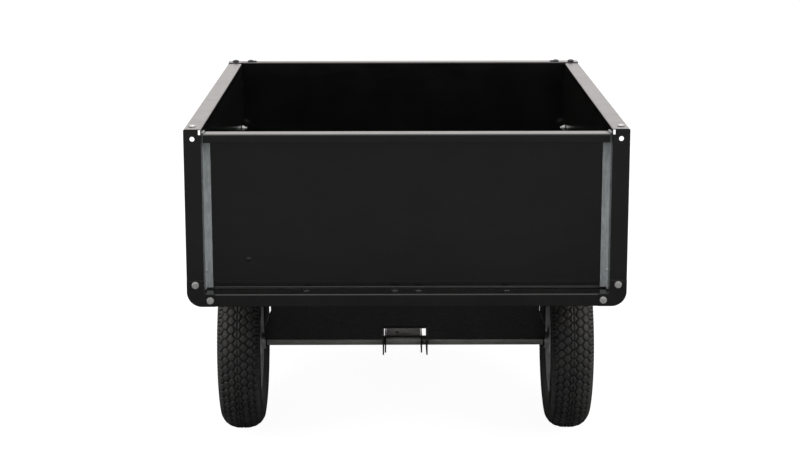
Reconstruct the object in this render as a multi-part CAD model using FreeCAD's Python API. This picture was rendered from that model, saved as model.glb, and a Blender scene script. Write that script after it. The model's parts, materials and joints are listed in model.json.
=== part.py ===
"""Tipping garden trailer: folded steel tub on an axle carrier, two pneumatic wheels and a tow drawbar.

Everything is first drawn level, as it is towed, with the axle centre at the origin, +Y towards the hitch
and +Z up. The parked trailer is that model turned nose down about the axle until the clevis meets the floor.
Lengths are millimetres and angles degrees.
"""
import math
import os

import FreeCAD, Part

V = FreeCAD.Vector
X_AXIS = V(1, 0, 0)
Y_AXIS = V(0, 1, 0)

# Tub
TUB_LENGTH = 978.0
TUB_INNER_WIDTH = 748.0
TUB_DEPTH = 308.0
TUB_REAR_TO_AXLE = 469.0
TYRE_CLEARANCE = 10.5
SHEET = 1.5
BEND_INNER_RADIUS = 1.5
SIDE_FLANGE = 32.0
FRONT_FLANGE = 34.0
TOP_LIP = 16.0
SKIRT = 23.5
REAR_HOLE_RADIUS = 4.5
REAR_HOLE_BELOW_RIM = 18.0
FRONT_TAB = 50.0
FRONT_TAB_BELOW_RIM = 50.0
FRONT_CAP_LAP = 5.0
CORNER_RELIEF = 5.0
CORNER_RELIEF_DEPTH = 9.0

# Corner gussets
GUSSET_THICKNESS = 2.0
GUSSET_WIDTH = 52.0
GUSSET_HEIGHT = 49.5
GUSSET_CORNER_RADIUS = 28.0
GUSSET_THROAT_RADIUS = 6.0
BOLT_HEAD_RADIUS = 5.6
BOLT_HEAD = 4.6
BOLT_WASHER_RADIUS = 6.6
BOLT_WASHER = 1.1
UPPER_BOLT_BELOW_TOP = 8.5
LOWER_BOLT_INSET = 9.0

# Tailgate and its two guides
GUIDE_SHEET = 1.5
GUIDE_LEG_SETBACK = 22.0
GUIDE_SLOT_SETBACK = 45.0
GUIDE_SLOT = 9.5
GUIDE_REAR_LIP = 3.0
GUIDE_LIP_DEPTH = 11.0
GUIDE_ABOVE_FLOOR = 3.0
GUIDE_BELOW_RIM = 10.0
GUIDE_LIP_BELOW_RIM = 30.0
GATE_BELOW_RIM = 11.5
GATE_HOOD = 34.0
GATE_HOOD_LIP = 16.0
GATE_FOOT = 10.0
GATE_EDGE_RETURN = 5.0
GATE_SIDE_CLEARANCE = 0.8
GATE_SLOT_CLEARANCE = 0.6
GATE_FOOT_CLEARANCE = 2.5
SEAT_GAP = 0.3

# Axle, carrier and pivot bracket
AXLE_RADIUS = 10.0
RUNNING_CLEARANCE = 0.05
PLATE = 3.0
CARRIER_HALF_BOTTOM = 294.0
CARRIER_HALF_TOP = 281.0
CARRIER_FOOT = 28.0
CARRIER_SHOULDER = 28.0
CARRIER_DEPTH = 60.0
CARRIER_EAR_RADIUS = 13.0
RIB_NOTCH_HALF = 4.0
RIB_NOTCH_CLEARANCE = 1.5
BRACKET_INNER_WIDTH = 88.6
BRACKET_INNER_TOP = 33.5
BRACKET_LEG_DROP = 24.0

# Wheels
WHEEL_RADIUS = 184.0
TYRE_WIDTH = 89.5
TYRE_SHOULDER_RADIUS = 26.0
TYRE_WALL = 9.0
RIM_SEAT_RADIUS = 101.6
RIM_FLANGE_RADIUS = 112.0
RIM_FLANGE_HALF = 34.0
RIM_WELL_RADIUS = 88.0
RIM_WELL_HALF = 13.0
RIM_PRESSING = 3.0
DISC_OFFSET = 6.0
DISC_HOLE_RADIUS = 11.0
DISC_HOLE_CIRCLE = 62.0
DISC_HOLES = 6
HUB_RADIUS = 19.0
HUB_FLANGE_RADIUS = 30.0
HUB_FLANGE = 3.0
HUB_INNER_END = 37.25
HUB_OUTER_END = 35.5
HUB_TO_CARRIER = 8.5
SPACER_RADIUS = 17.0
WASHER_RADIUS = 19.0
WASHER = 2.5
COTTER_RADIUS = 1.8
COTTER_LENGTH = 34.0
COTTER_INSET = 4.5
AXLE_OVERHANG = 8.0
VALVE_RADIUS = 4.0
VALVE_LENGTH = 32.0

# Drawbar, clevis and latch
DRAWBAR_WIDTH = 79.0
DRAWBAR_TOP = 16.0
DRAWBAR_DROP = 22.0
DRAWBAR_TAIL = 17.7
DRAWBAR_REACH = 985.0
DRAWBAR_RISE = 3.0
DRAWBAR_SHIFT = -3.5
DRAWBAR_HOLE_RADIUS = 4.5
DRAWBAR_HOLE_X = -13.5
DRAWBAR_HOLE_Y = 4.0
CLEVIS_PLATE = 6.0
CLEVIS_WIDTH = 66.0
CLEVIS_NOSE_RADIUS = 25.0
CLEVIS_PIN_SETBACK = 35.0
TOW_PIN_RADIUS = 7.0
STAND_WIDTH = 110.0
STAND_FRONT = 470.0
STAND_DEPTH = 40.0
STAND_FLANGE = 20.0
STAND_SLOT_WIDTH = 24.0
STAND_SLOT_HEIGHT = 14.0
STAND_SLOT_ABOVE_BAR = 26.0
STAND_WEB_HEIGHT = 52.0
LATCH_NOSE_GAP = 6.0
LATCH_PIVOT_AHEAD = 38.0
LATCH_PIVOT_ABOVE_BAR = 29.0
LATCH_PIN_RADIUS = 5.0
LATCH_LEVER_THICKNESS = 10.0
LATCH_LEVER_HUB_RADIUS = 12.0
LATCH_HANDLE_RUN = 118.0
LATCH_HANDLE_LIFT = 105.0
LATCH_HANDLE_HALF = 8.0
LATCH_BASE_LENGTH = 48.0
LATCH_EAR_RADIUS = 13.0

# Values that follow from the ones above
HALF_WIDTH = TUB_INNER_WIDTH / 2
REAR = -TUB_REAR_TO_AXLE
FRONT = REAR + TUB_LENGTH
TUB_BOTTOM = WHEEL_RADIUS + TYRE_CLEARANCE
FLOOR_TOP = TUB_BOTTOM + SKIRT
FLOOR_UNDERSIDE = FLOOR_TOP - SHEET
RIM = FLOOR_TOP + TUB_DEPTH
OUTER_EDGE = HALF_WIDTH + SIDE_FLANGE
HUB_INNER_X = CARRIER_HALF_BOTTOM + HUB_TO_CARRIER
WHEEL_X = HUB_INNER_X + HUB_INNER_END
HUB_OUTER_X = WHEEL_X + HUB_OUTER_END
AXLE_END = HUB_OUTER_X + SEAT_GAP + WASHER + AXLE_OVERHANG
COTTER_X = AXLE_END - COTTER_INSET
AXLE_HOLE_RADIUS = AXLE_RADIUS + RUNNING_CLEARANCE
PIN_Y = DRAWBAR_REACH + CLEVIS_PIN_SETBACK
CLEVIS_TIP_Y = PIN_Y + CLEVIS_NOSE_RADIUS
LATCH_PIVOT_Y = STAND_FRONT + LATCH_PIVOT_AHEAD
LATCH_PIVOT_Z = DRAWBAR_TOP + LATCH_PIVOT_ABOVE_BAR
CARRIER_EDGE = [
    (CARRIER_HALF_BOTTOM, AXLE_RADIUS),
    (CARRIER_HALF_BOTTOM, AXLE_RADIUS + CARRIER_FOOT),
    (CARRIER_HALF_TOP, AXLE_RADIUS + CARRIER_FOOT + CARRIER_SHOULDER),
    (CARRIER_HALF_TOP, FLOOR_UNDERSIDE),
]


def parked_angle():
    """Nose-down angle at which the clevis's lower front edge is as low as the bottom of the wheels."""
    rise = math.radians(DRAWBAR_RISE)
    y = CLEVIS_TIP_Y * math.cos(rise) + DRAWBAR_DROP * math.sin(rise)
    z = CLEVIS_TIP_Y * math.sin(rise) - DRAWBAR_DROP * math.cos(rise)
    return math.degrees(math.asin(WHEEL_RADIUS / math.hypot(y, z)) + math.atan2(z, y))


def block(x0, x1, y0, y1, z0, z1):
    """Box between two corners."""
    return Part.makeBox(x1 - x0, y1 - y0, z1 - z0, V(x0, y0, z0))


def rod(radius, x0, x1, y=0.0, z=0.0):
    """Round bar along X."""
    return Part.makeCylinder(radius, x1 - x0, V(x0, y, z), X_AXIS)


def face_of(edges):
    """Flat face inside a closed run of edges."""
    return Part.Face(Part.Wire(edges))


def polygon(points):
    """Flat face through points, closed back to the first."""
    return Part.Face(Part.makePolygon(list(points) + [points[0]]))


def folded_edges(path, thickness, radius, to_3d):
    """Closed outline of a folded sheet: its middle line follows path, with a bend at each inner point."""
    half = thickness / 2
    middle = radius + half
    sides = {1: [], -1: []}
    points = [V(p[0], p[1], 0) for p in path]
    runs = [(points[i + 1] - points[i]).normalize() for i in range(len(points) - 1)]
    for side in sides:
        track = [points[0] + V(-runs[0].y, runs[0].x, 0) * half * side]
        for i in range(1, len(points) - 1):
            before, after = runs[i - 1], runs[i]
            turn = math.atan2(before.cross(after).z, before.dot(after))
            setback = middle * math.tan(abs(turn) / 2)
            hand = math.copysign(1, turn)
            start = points[i] - before * setback
            end = points[i] + after * setback
            centre = start + V(-before.y, before.x, 0) * middle * hand
            outwards = (points[i] - centre).normalize()
            reach = middle - half * side * hand
            track.append(start + V(-before.y, before.x, 0) * half * side)
            track.append(centre + outwards * reach)
            track.append(end + V(-after.y, after.x, 0) * half * side)
        track.append(points[-1] + V(-runs[-1].y, runs[-1].x, 0) * half * side)
        sides[side] = [to_3d(p.x, p.y) for p in track]
    edges = []
    for track in sides.values():
        edges.append(Part.LineSegment(track[0], track[1]).toShape())
        for k in range(1, len(track) - 1, 3):
            edges.append(Part.Arc(track[k], track[k + 1], track[k + 2]).toShape())
            edges.append(Part.LineSegment(track[k + 2], track[k + 3]).toShape())
    for end in (0, -1):
        edges.append(Part.LineSegment(sides[1][end], sides[-1][end]).toShape())
    return Part.__sortEdges__(edges)


def folded_along_x(path, x0, x1, thickness=SHEET):
    """Folded sheet with its (y, z) section carried from x0 to x1."""
    edges = folded_edges(path, thickness, BEND_INNER_RADIUS, lambda a, b: V(x0, a, b))
    return face_of(edges).extrude(V(x1 - x0, 0, 0))


def folded_along_y(path, y0, y1, thickness=SHEET):
    """Folded sheet with its (x, z) section carried from y0 to y1."""
    edges = folded_edges(path, thickness, BEND_INNER_RADIUS, lambda a, b: V(a, y0, b))
    return face_of(edges).extrude(V(0, y1 - y0, 0))


def fused(*pieces):
    """One solid with its flush faces merged."""
    whole = pieces[0].fuse(list(pieces[1:])) if len(pieces) > 1 else pieces[0]
    return whole.removeSplitter()


def mirrored(shape):
    """The same piece on the left."""
    return shape.mirror(V(0, 0, 0), X_AXIS)


def corner_outline(inner, top, thickness, y):
    """Upright plate at the tub's right-hand corner, with a rounded lower outer corner."""
    r = GUSSET_CORNER_RADIUS
    outer = OUTER_EDGE
    low = TUB_BOTTOM
    slant = r * (1 - math.sqrt(0.5))
    start = V(outer, y, low + r)
    end = V(outer - r, y, low)
    edges = [
        Part.LineSegment(V(inner, y, low), V(inner, y, top)).toShape(),
        Part.LineSegment(V(inner, y, top), V(outer, y, top)).toShape(),
        Part.LineSegment(V(outer, y, top), start).toShape(),
        Part.Arc(start, V(outer - slant, y, low + slant), end).toShape(),
        Part.LineSegment(end, V(inner, y, low)).toShape(),
    ]
    return face_of(edges).extrude(V(0, thickness, 0))


def side_panel():
    """Right wall: outward top flange with a turned-down lip, and outward flanges at both ends."""
    wall_x = HALF_WIDTH + SHEET / 2
    flange_z = RIM - SHEET / 2
    lip_x = OUTER_EDGE - SHEET / 2
    path = [(wall_x, TUB_BOTTOM), (wall_x, flange_z), (lip_x, flange_z), (lip_x, RIM - TOP_LIP)]
    shell = folded_along_y(path, REAR, FRONT + SHEET)
    plate_top = RIM - SHEET
    rear = corner_outline(HALF_WIDTH, plate_top, SHEET, REAR)
    front = corner_outline(HALF_WIDTH, plate_top, SHEET, FRONT)
    panel = fused(shell, rear, front)
    hole_at = V((HALF_WIDTH + OUTER_EDGE) / 2, REAR - SHEET, RIM - REAR_HOLE_BELOW_RIM)
    hole = Part.makeCylinder(REAR_HOLE_RADIUS, 3 * SHEET, hole_at, Y_AXIS)
    relief = block(HALF_WIDTH - SHEET, HALF_WIDTH + CORNER_RELIEF, REAR - SHEET, REAR + CORNER_RELIEF,
                   plate_top - CORNER_RELIEF_DEPTH, plate_top)
    return panel.cut(hole).cut(relief)


def floor_half():
    """Right half of the floor, with its edges turned down all round."""
    deck = FLOOR_TOP - SHEET / 2
    rear_y = REAR + SHEET / 2
    front_y = FRONT - SHEET / 2
    path = [(rear_y, TUB_BOTTOM), (rear_y, deck), (front_y, deck), (front_y, TUB_BOTTOM)]
    pan = folded_along_x(path, 0, HALF_WIDTH)
    inset = SHEET + BEND_INNER_RADIUS
    rib = block(0, SHEET, REAR + inset, FRONT - inset, TUB_BOTTOM, deck)
    edge = block(HALF_WIDTH - SHEET, HALF_WIDTH, REAR + inset, FRONT - inset, TUB_BOTTOM, deck)
    return fused(pan, rib, edge)


def front_panel():
    """Front wall: a forward top flange that laps over both corners, and tabs back along the side walls."""
    wall_y = FRONT + SHEET / 2
    flange_z = RIM + SHEET / 2
    lip_y = FRONT + FRONT_FLANGE - SHEET / 2
    lip_low = RIM - TOP_LIP
    wall = folded_along_x([(wall_y, TUB_BOTTOM), (wall_y, flange_z), (lip_y, flange_z), (lip_y, lip_low)],
                          -HALF_WIDTH, HALF_WIDTH)
    cap_path = [(FRONT - FRONT_CAP_LAP, flange_z), (lip_y, flange_z), (lip_y, lip_low)]
    pieces = [wall]
    for x0, x1 in ((-OUTER_EDGE, -HALF_WIDTH), (HALF_WIDTH, OUTER_EDGE)):
        pieces.append(folded_along_x(cap_path, x0, x1))
    for x0 in (-HALF_WIDTH, HALF_WIDTH - SHEET):
        pieces.append(block(x0, x0 + SHEET, FRONT - FRONT_TAB, FRONT, FLOOR_TOP + SHEET,
                            RIM - FRONT_TAB_BELOW_RIM))
    return fused(*pieces)


def gusset(y):
    """Right-hand plate across a lower corner, over the wall's flange and the floor's skirt."""
    top = TUB_BOTTOM + GUSSET_HEIGHT
    inner = OUTER_EDGE - GUSSET_WIDTH
    plate = corner_outline(inner, top, GUSSET_THICKNESS, y)
    throat_x = HALF_WIDTH
    throat = block(inner - 1, throat_x, y - 1, y + GUSSET_THICKNESS + 1, FLOOR_TOP, top + 1)
    plate = plate.cut(throat)
    corner = [e for e in plate.Edges if is_along_y_at(e, throat_x, FLOOR_TOP)]
    return plate.makeFillet(GUSSET_THROAT_RADIUS, corner)


def bolt_head(x, z):
    """Hexagon head on its washer face, on the rear of a rear gusset."""
    face_y = REAR - GUSSET_THICKNESS
    washer = Part.makeCylinder(BOLT_WASHER_RADIUS, BOLT_WASHER, V(x, face_y - BOLT_WASHER, z), Y_AXIS)
    corners = []
    for k in range(6):
        angle = math.radians(60 * k + 15)
        across = BOLT_HEAD_RADIUS * math.cos(angle)
        up = BOLT_HEAD_RADIUS * math.sin(angle)
        corners.append(V(x + across, face_y, z + up))
    head = polygon(corners).extrude(V(0, -BOLT_WASHER - BOLT_HEAD, 0))
    return fused(washer, head)


def is_along_y_at(edge, x, z):
    """Whether an edge runs along Y at one x and z."""
    ends = [vertex.Point for vertex in edge.Vertexes]
    return len(ends) == 2 and all(abs(p.x - x) < 0.01 and abs(p.z - z) < 0.01 for p in ends)


def guide():
    """Right-hand zinc channel: a leg on the wall and two lips with the tailgate's slot between them."""
    wall = HALF_WIDTH
    low = FLOOR_TOP + GUIDE_ABOVE_FLOOR
    high = RIM - GUIDE_BELOW_RIM
    lip_high = RIM - GUIDE_LIP_BELOW_RIM
    slot_rear = REAR + GUIDE_SLOT_SETBACK
    slot_front = slot_rear + GUIDE_SLOT
    leg = block(wall - GUIDE_SHEET, wall, REAR + GUIDE_LEG_SETBACK, slot_front + GUIDE_SHEET, low, high)
    lip_tip = wall - GUIDE_SHEET - GUIDE_LIP_DEPTH
    rear_lip = block(lip_tip, wall - GUIDE_SHEET, slot_rear - GUIDE_REAR_LIP, slot_rear, low, lip_high)
    front_lip = block(lip_tip, wall - GUIDE_SHEET, slot_front, slot_front + GUIDE_SHEET, low, lip_high)
    return fused(leg, rear_lip, front_lip)


def tailgate():
    """Lift-out rear door: a pan with a hood folded out over the guides and a foot on the floor."""
    slot_front = REAR + GUIDE_SLOT_SETBACK + GUIDE_SLOT
    return_tip = slot_front - GATE_SLOT_CLEARANCE
    panel_y = return_tip - GATE_EDGE_RETURN + SHEET / 2
    top_z = RIM - GATE_BELOW_RIM - SHEET / 2
    foot_z = FLOOR_TOP + SEAT_GAP + SHEET / 2
    half = HALF_WIDTH - GUIDE_SHEET - GATE_SIDE_CLEARANCE
    foot_half = HALF_WIDTH - GUIDE_SHEET - GUIDE_LIP_DEPTH - GATE_FOOT_CLEARANCE
    lip_y = panel_y - GATE_HOOD
    upper_low = FLOOR_TOP + 2 * GATE_FOOT
    upper = folded_along_x(
        [(panel_y, upper_low), (panel_y, top_z), (lip_y, top_z), (lip_y, top_z + SHEET / 2 - GATE_HOOD_LIP)],
        -half, half)
    lower = folded_along_x([(panel_y, upper_low), (panel_y, foot_z), (panel_y - GATE_FOOT, foot_z)],
                           -foot_half, foot_half)
    pieces = [upper, lower]
    edge_low = FLOOR_TOP + GUIDE_ABOVE_FLOOR
    edge_high = RIM - GUIDE_LIP_BELOW_RIM
    for side in (-1, 1):
        x0, x1 = sorted((side * foot_half, side * half))
        pieces.append(block(x0, x1, panel_y - SHEET / 2, panel_y + SHEET / 2, edge_low, upper_low))
        x0, x1 = sorted((side * half, side * (half - SHEET)))
        pieces.append(block(x0, x1, panel_y - SHEET / 2, return_tip, edge_low, edge_high))
    return fused(*pieces)


def axle_carrier():
    """Folded box under the floor: two webs that narrow past the tyres, a top plate and two end plates."""
    half_depth = CARRIER_DEPTH / 2
    top = FLOOR_UNDERSIDE
    outline = CARRIER_EDGE + [(-x, z) for x, z in reversed(CARRIER_EDGE)]
    pieces = []
    for y in (-half_depth, half_depth - PLATE):
        pieces.append(polygon([V(x, y, z) for x, z in outline]).extrude(V(0, PLATE, 0)))
    pieces.append(block(-CARRIER_HALF_TOP, CARRIER_HALF_TOP, -half_depth, half_depth, top - PLATE, top))
    pieces.append(carrier_end())
    pieces.append(mirrored(carrier_end()))
    carrier = fused(*pieces)
    reach = half_depth + 1
    rib = block(-RIB_NOTCH_HALF, RIB_NOTCH_HALF, -reach, reach, TUB_BOTTOM - RIB_NOTCH_CLEARANCE, top + 1)
    bracket_half = BRACKET_INNER_WIDTH / 2 + PLATE
    window = block(-bracket_half, bracket_half, -reach, reach, 0, BRACKET_INNER_TOP + PLATE)
    hole = rod(AXLE_HOLE_RADIUS, -CARRIER_HALF_BOTTOM - 1, CARRIER_HALF_BOTTOM + 1)
    return carrier.cut(rib).cut(window).cut(hole)


def carrier_end():
    """Right-hand end plate, folded like the webs' edge, with a round ear below that holds the axle."""
    half_depth = CARRIER_DEPTH / 2
    pieces = []
    for (x0, z0), (x1, z1) in zip(CARRIER_EDGE, CARRIER_EDGE[1:]):
        corners = [(x0 - PLATE, z0), (x0, z0), (x1, z1), (x1 - PLATE, z1)]
        pieces.append(polygon([V(x, -half_depth, z) for x, z in corners]).extrude(V(0, CARRIER_DEPTH, 0)))
    ear = CARRIER_EAR_RADIUS
    pieces.append(rod(ear, CARRIER_HALF_BOTTOM - PLATE, CARRIER_HALF_BOTTOM))
    pieces.append(block(CARRIER_HALF_BOTTOM - PLATE, CARRIER_HALF_BOTTOM, -ear, ear, 0, AXLE_RADIUS))
    return fused(*pieces)


def pivot_bracket():
    """Inverted U through the carrier, with the axle in its legs and the drawbar's tail between them."""
    half_depth = CARRIER_DEPTH / 2
    outer = BRACKET_INNER_WIDTH / 2 + PLATE
    inner = BRACKET_INNER_WIDTH / 2
    top = BRACKET_INNER_TOP + PLATE
    solid = block(-outer, outer, -half_depth, half_depth, -BRACKET_LEG_DROP, top)
    hollow = block(-inner, inner, -half_depth - 1, half_depth + 1, -BRACKET_LEG_DROP - 1, BRACKET_INNER_TOP)
    return solid.cut(hollow).cut(rod(AXLE_HOLE_RADIUS, -outer - 1, outer + 1))


def axle():
    """Round bar through carrier, bracket, drawbar and both hubs, cross-drilled for the cotter pins."""
    bar = rod(AXLE_RADIUS, -AXLE_END, AXLE_END)
    for side in (-1, 1):
        bar = bar.cut(Part.makeCylinder(COTTER_RADIUS + RUNNING_CLEARANCE, COTTER_LENGTH,
                                        V(side * COTTER_X, 0, -COTTER_LENGTH / 2)))
    return bar


def ring(inner, outer, x0, x1):
    """Flat washer or spacer on the axle."""
    return rod(outer, x0, x1).cut(rod(inner, x0 - 1, x1 + 1))


def cotter():
    """Right-hand split pin, with its eye above the axle."""
    reach = AXLE_RADIUS + 2 * COTTER_RADIUS
    stem = Part.makeCylinder(COTTER_RADIUS, COTTER_LENGTH / 2 + reach, V(COTTER_X, 0, -COTTER_LENGTH / 2))
    eye_radius = 2 * COTTER_RADIUS
    eye = Part.makeTorus(eye_radius, COTTER_RADIUS, V(COTTER_X, 0, reach + eye_radius), X_AXIS)
    return fused(stem, eye)


def latch_stand():
    """Stirrup under the floor that straddles and rests on the drawbar, with the latch's slot in its web."""
    half = STAND_WIDTH / 2
    rear = STAND_FRONT - STAND_DEPTH
    top = FLOOR_UNDERSIDE
    left = DRAWBAR_SHIFT - half
    right = DRAWBAR_SHIFT + half
    seat = DRAWBAR_TOP + SEAT_GAP
    web_top = seat + STAND_FRONT * math.sin(math.radians(DRAWBAR_RISE)) + STAND_WEB_HEIGHT
    pieces = [block(left, right, STAND_FRONT - PLATE, STAND_FRONT, 0, web_top)]
    for x0, x1 in ((left, left + PLATE), (right - PLATE, right)):
        pieces.append(block(x0, x1, rear, STAND_FRONT, 0, top))
    for x0, x1 in ((left - STAND_FLANGE, left), (right, right + STAND_FLANGE)):
        pieces.append(block(x0, x1, rear, STAND_FRONT, top - PLATE, top))
    post = fused(*pieces)
    under = on_drawbar(block(-2 * half, 2 * half, 0, 2 * STAND_FRONT, -STAND_FRONT, seat + PLATE / 2))
    foot = on_drawbar(block(-half, half, rear + PLATE, STAND_FRONT + PLATE, seat, seat + PLATE))
    slot_low = seat + STAND_SLOT_ABOVE_BAR
    slot = on_drawbar(block(-STAND_SLOT_WIDTH / 2, STAND_SLOT_WIDTH / 2, STAND_FRONT - 2 * PLATE,
                            STAND_FRONT + 4 * PLATE, slot_low, slot_low + STAND_SLOT_HEIGHT))
    return fused(post.cut(under), foot).cut(slot)


def revolved(points):
    """Solid turned about the X axis from (x, radius) points."""
    return polygon([V(x, 0, r) for x, r in points]).revolve(V(0, 0, 0), X_AXIS, 360)


def tyre():
    """Right-hand tyre: a hollow casing with rounded shoulders, seated on the rim."""
    half = TYRE_WIDTH / 2
    crown = WHEEL_RADIUS
    shoulder = TYRE_SHOULDER_RADIUS
    bead_half = RIM_FLANGE_HALF - RIM_PRESSING
    bulge = (RIM_FLANGE_RADIUS + crown - shoulder) / 2
    arc_mid = shoulder * math.sqrt(0.5)

    def casing(inset):
        side = half - inset
        top = crown - inset
        turn = shoulder
        low = RIM_SEAT_RADIUS + SEAT_GAP
        foot = bead_half - SEAT_GAP - inset
        neck = RIM_FLANGE_RADIUS + SEAT_GAP
        right = [V(foot, 0, low), V(foot, 0, neck), V(side, 0, bulge), V(side, 0, top - turn)]
        edges = [Part.LineSegment(right[0], right[1]).toShape()]
        edges.append(Part.LineSegment(right[1], right[2]).toShape())
        edges.append(Part.LineSegment(right[2], right[3]).toShape())
        knee = V(side - turn + arc_mid, 0, top - turn + arc_mid)
        edges.append(Part.Arc(right[3], knee, V(side - turn, 0, top)).toShape())
        edges.append(Part.LineSegment(V(side - turn, 0, top), V(turn - side, 0, top)).toShape())
        knee = V(-knee.x, 0, knee.z)
        edges.append(Part.Arc(V(turn - side, 0, top), knee, V(-side, 0, top - turn)).toShape())
        left = [V(-p.x, 0, p.z) for p in reversed(right)]
        for a, b in zip(left, left[1:]):
            edges.append(Part.LineSegment(a, b).toShape())
        edges.append(Part.LineSegment(left[-1], right[0]).toShape())
        return face_of(edges).revolve(V(0, 0, 0), X_AXIS, 360)

    whole = casing(0).cut(casing(TYRE_WALL))
    whole.translate(V(WHEEL_X, 0, 0))
    return whole


def rim():
    """Right-hand pressed rim: flanges, bead seats, a well and a disc with round lightening holes."""
    press = RIM_PRESSING
    outer = [
        (RIM_FLANGE_HALF, RIM_FLANGE_RADIUS), (RIM_FLANGE_HALF - press, RIM_FLANGE_RADIUS),
        (RIM_FLANGE_HALF - press, RIM_SEAT_RADIUS), (RIM_WELL_HALF + press, RIM_SEAT_RADIUS),
        (RIM_WELL_HALF, RIM_WELL_RADIUS),
    ]
    inner = [
        (RIM_WELL_HALF - press, RIM_WELL_RADIUS - press), (RIM_WELL_HALF, RIM_SEAT_RADIUS - press),
        (RIM_FLANGE_HALF, RIM_SEAT_RADIUS - press),
    ]
    band = outer + [(-x, r) for x, r in reversed(outer)]
    band += [(-x, r) for x, r in reversed(inner)] + inner
    shell = revolved(band)
    disc_x = DISC_OFFSET
    disc = revolved([
        (disc_x, HUB_RADIUS), (disc_x + press, HUB_RADIUS),
        (disc_x + press, RIM_WELL_RADIUS - press / 2), (disc_x, RIM_WELL_RADIUS - press / 2),
    ])
    for k in range(DISC_HOLES):
        angle = 2 * math.pi * k / DISC_HOLES
        y = DISC_HOLE_CIRCLE * math.cos(angle)
        z = DISC_HOLE_CIRCLE * math.sin(angle)
        disc = disc.cut(rod(DISC_HOLE_RADIUS, disc_x - 1, disc_x + press + 1, y, z))
    whole = fused(shell, disc)
    whole.translate(V(WHEEL_X, 0, 0))
    return whole


def hub():
    """Right-hand hub: a bored tube with a round flange at its inner end."""
    tube = rod(HUB_RADIUS, HUB_INNER_X, HUB_OUTER_X)
    flange = rod(HUB_FLANGE_RADIUS, HUB_INNER_X, HUB_INNER_X + HUB_FLANGE)
    bore = rod(AXLE_HOLE_RADIUS, HUB_INNER_X - 1, HUB_OUTER_X + 1)
    return fused(tube, flange).cut(bore)


def valve():
    """Right-hand inflation valve, lying against the rim's well on the outer side of the disc."""
    centre = RIM_WELL_RADIUS - RIM_PRESSING - SEAT_GAP - VALVE_RADIUS
    start = WHEEL_X + DISC_OFFSET + RIM_PRESSING + SEAT_GAP
    angle = math.pi / DISC_HOLES
    return rod(VALVE_RADIUS, start, start + VALVE_LENGTH, centre * math.cos(angle), centre * math.sin(angle))


def on_drawbar(shape):
    """Move a piece drawn about a level drawbar onto the real one, which rises and sits to one side."""
    moved = shape.copy()
    moved.rotate(V(0, 0, 0), X_AXIS, DRAWBAR_RISE)
    moved.translate(V(DRAWBAR_SHIFT, 0, 0))
    return moved


def drawbar():
    """Inverted channel from the axle to the clevis, bored for the axle."""
    half = DRAWBAR_WIDTH / 2
    x = half - PLATE / 2
    z = DRAWBAR_TOP - PLATE / 2
    path = [(-x, -DRAWBAR_DROP), (-x, z), (x, z), (x, -DRAWBAR_DROP)]
    channel = folded_along_y(path, -DRAWBAR_TAIL, DRAWBAR_REACH, PLATE)
    bore = rod(AXLE_HOLE_RADIUS, -half - 1, half + 1)
    drain_at = V(DRAWBAR_HOLE_X, DRAWBAR_HOLE_Y, DRAWBAR_TOP - 2 * PLATE)
    drain = Part.makeCylinder(DRAWBAR_HOLE_RADIUS, 3 * PLATE, drain_at)
    return channel.cut(bore).cut(drain)


def tow_clevis():
    """Two leaves and a back plate across the drawbar's front end, bored for the tow pin."""
    half = CLEVIS_WIDTH / 2
    back = DRAWBAR_REACH
    whole = block(-half, half, back, back + CLEVIS_PLATE, -DRAWBAR_DROP, DRAWBAR_TOP)
    nose = CLEVIS_NOSE_RADIUS
    for low in (-DRAWBAR_DROP, DRAWBAR_TOP - CLEVIS_PLATE):
        leaf = polygon([V(-half, back, low), V(half, back, low), V(nose, PIN_Y, low), V(-nose, PIN_Y, low)])
        leaf = leaf.extrude(V(0, 0, CLEVIS_PLATE))
        tip = Part.makeCylinder(nose, CLEVIS_PLATE, V(0, PIN_Y, low))
        whole = whole.fuse([leaf, tip])
    pin = Part.makeCylinder(TOW_PIN_RADIUS, DRAWBAR_TOP + DRAWBAR_DROP + 2, V(0, PIN_Y, -DRAWBAR_DROP - 1))
    return whole.cut(pin).removeSplitter()


def latch_bracket():
    """Base plate on the drawbar with two round-topped ears for the latch pin."""
    inner = LATCH_LEVER_THICKNESS / 2 + SEAT_GAP
    outer = inner + PLATE
    base_half = LATCH_BASE_LENGTH / 2
    pieces = [block(-2 * outer, 2 * outer, LATCH_PIVOT_Y - base_half, LATCH_PIVOT_Y + base_half,
                    DRAWBAR_TOP, DRAWBAR_TOP + PLATE)]
    for x0, x1 in ((-outer, -inner), (inner, outer)):
        ear = LATCH_EAR_RADIUS
        pieces.append(block(x0, x1, LATCH_PIVOT_Y - ear, LATCH_PIVOT_Y + ear, DRAWBAR_TOP, LATCH_PIVOT_Z))
        pieces.append(rod(ear, x0, x1, LATCH_PIVOT_Y, LATCH_PIVOT_Z))
    bore = rod(LATCH_PIN_RADIUS + RUNNING_CLEARANCE, -outer - 1, outer + 1, LATCH_PIVOT_Y, LATCH_PIVOT_Z)
    return fused(*pieces).cut(bore)


def latch_pin():
    """Headed pin through the ears and the lever."""
    end = LATCH_LEVER_THICKNESS / 2 + SEAT_GAP + PLATE + SEAT_GAP
    shank = rod(LATCH_PIN_RADIUS, -end - PLATE, end, LATCH_PIVOT_Y, LATCH_PIVOT_Z)
    head = rod(LATCH_PIN_RADIUS + PLATE, end, end + PLATE, LATCH_PIVOT_Y, LATCH_PIVOT_Z)
    return fused(shank, head)


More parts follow.
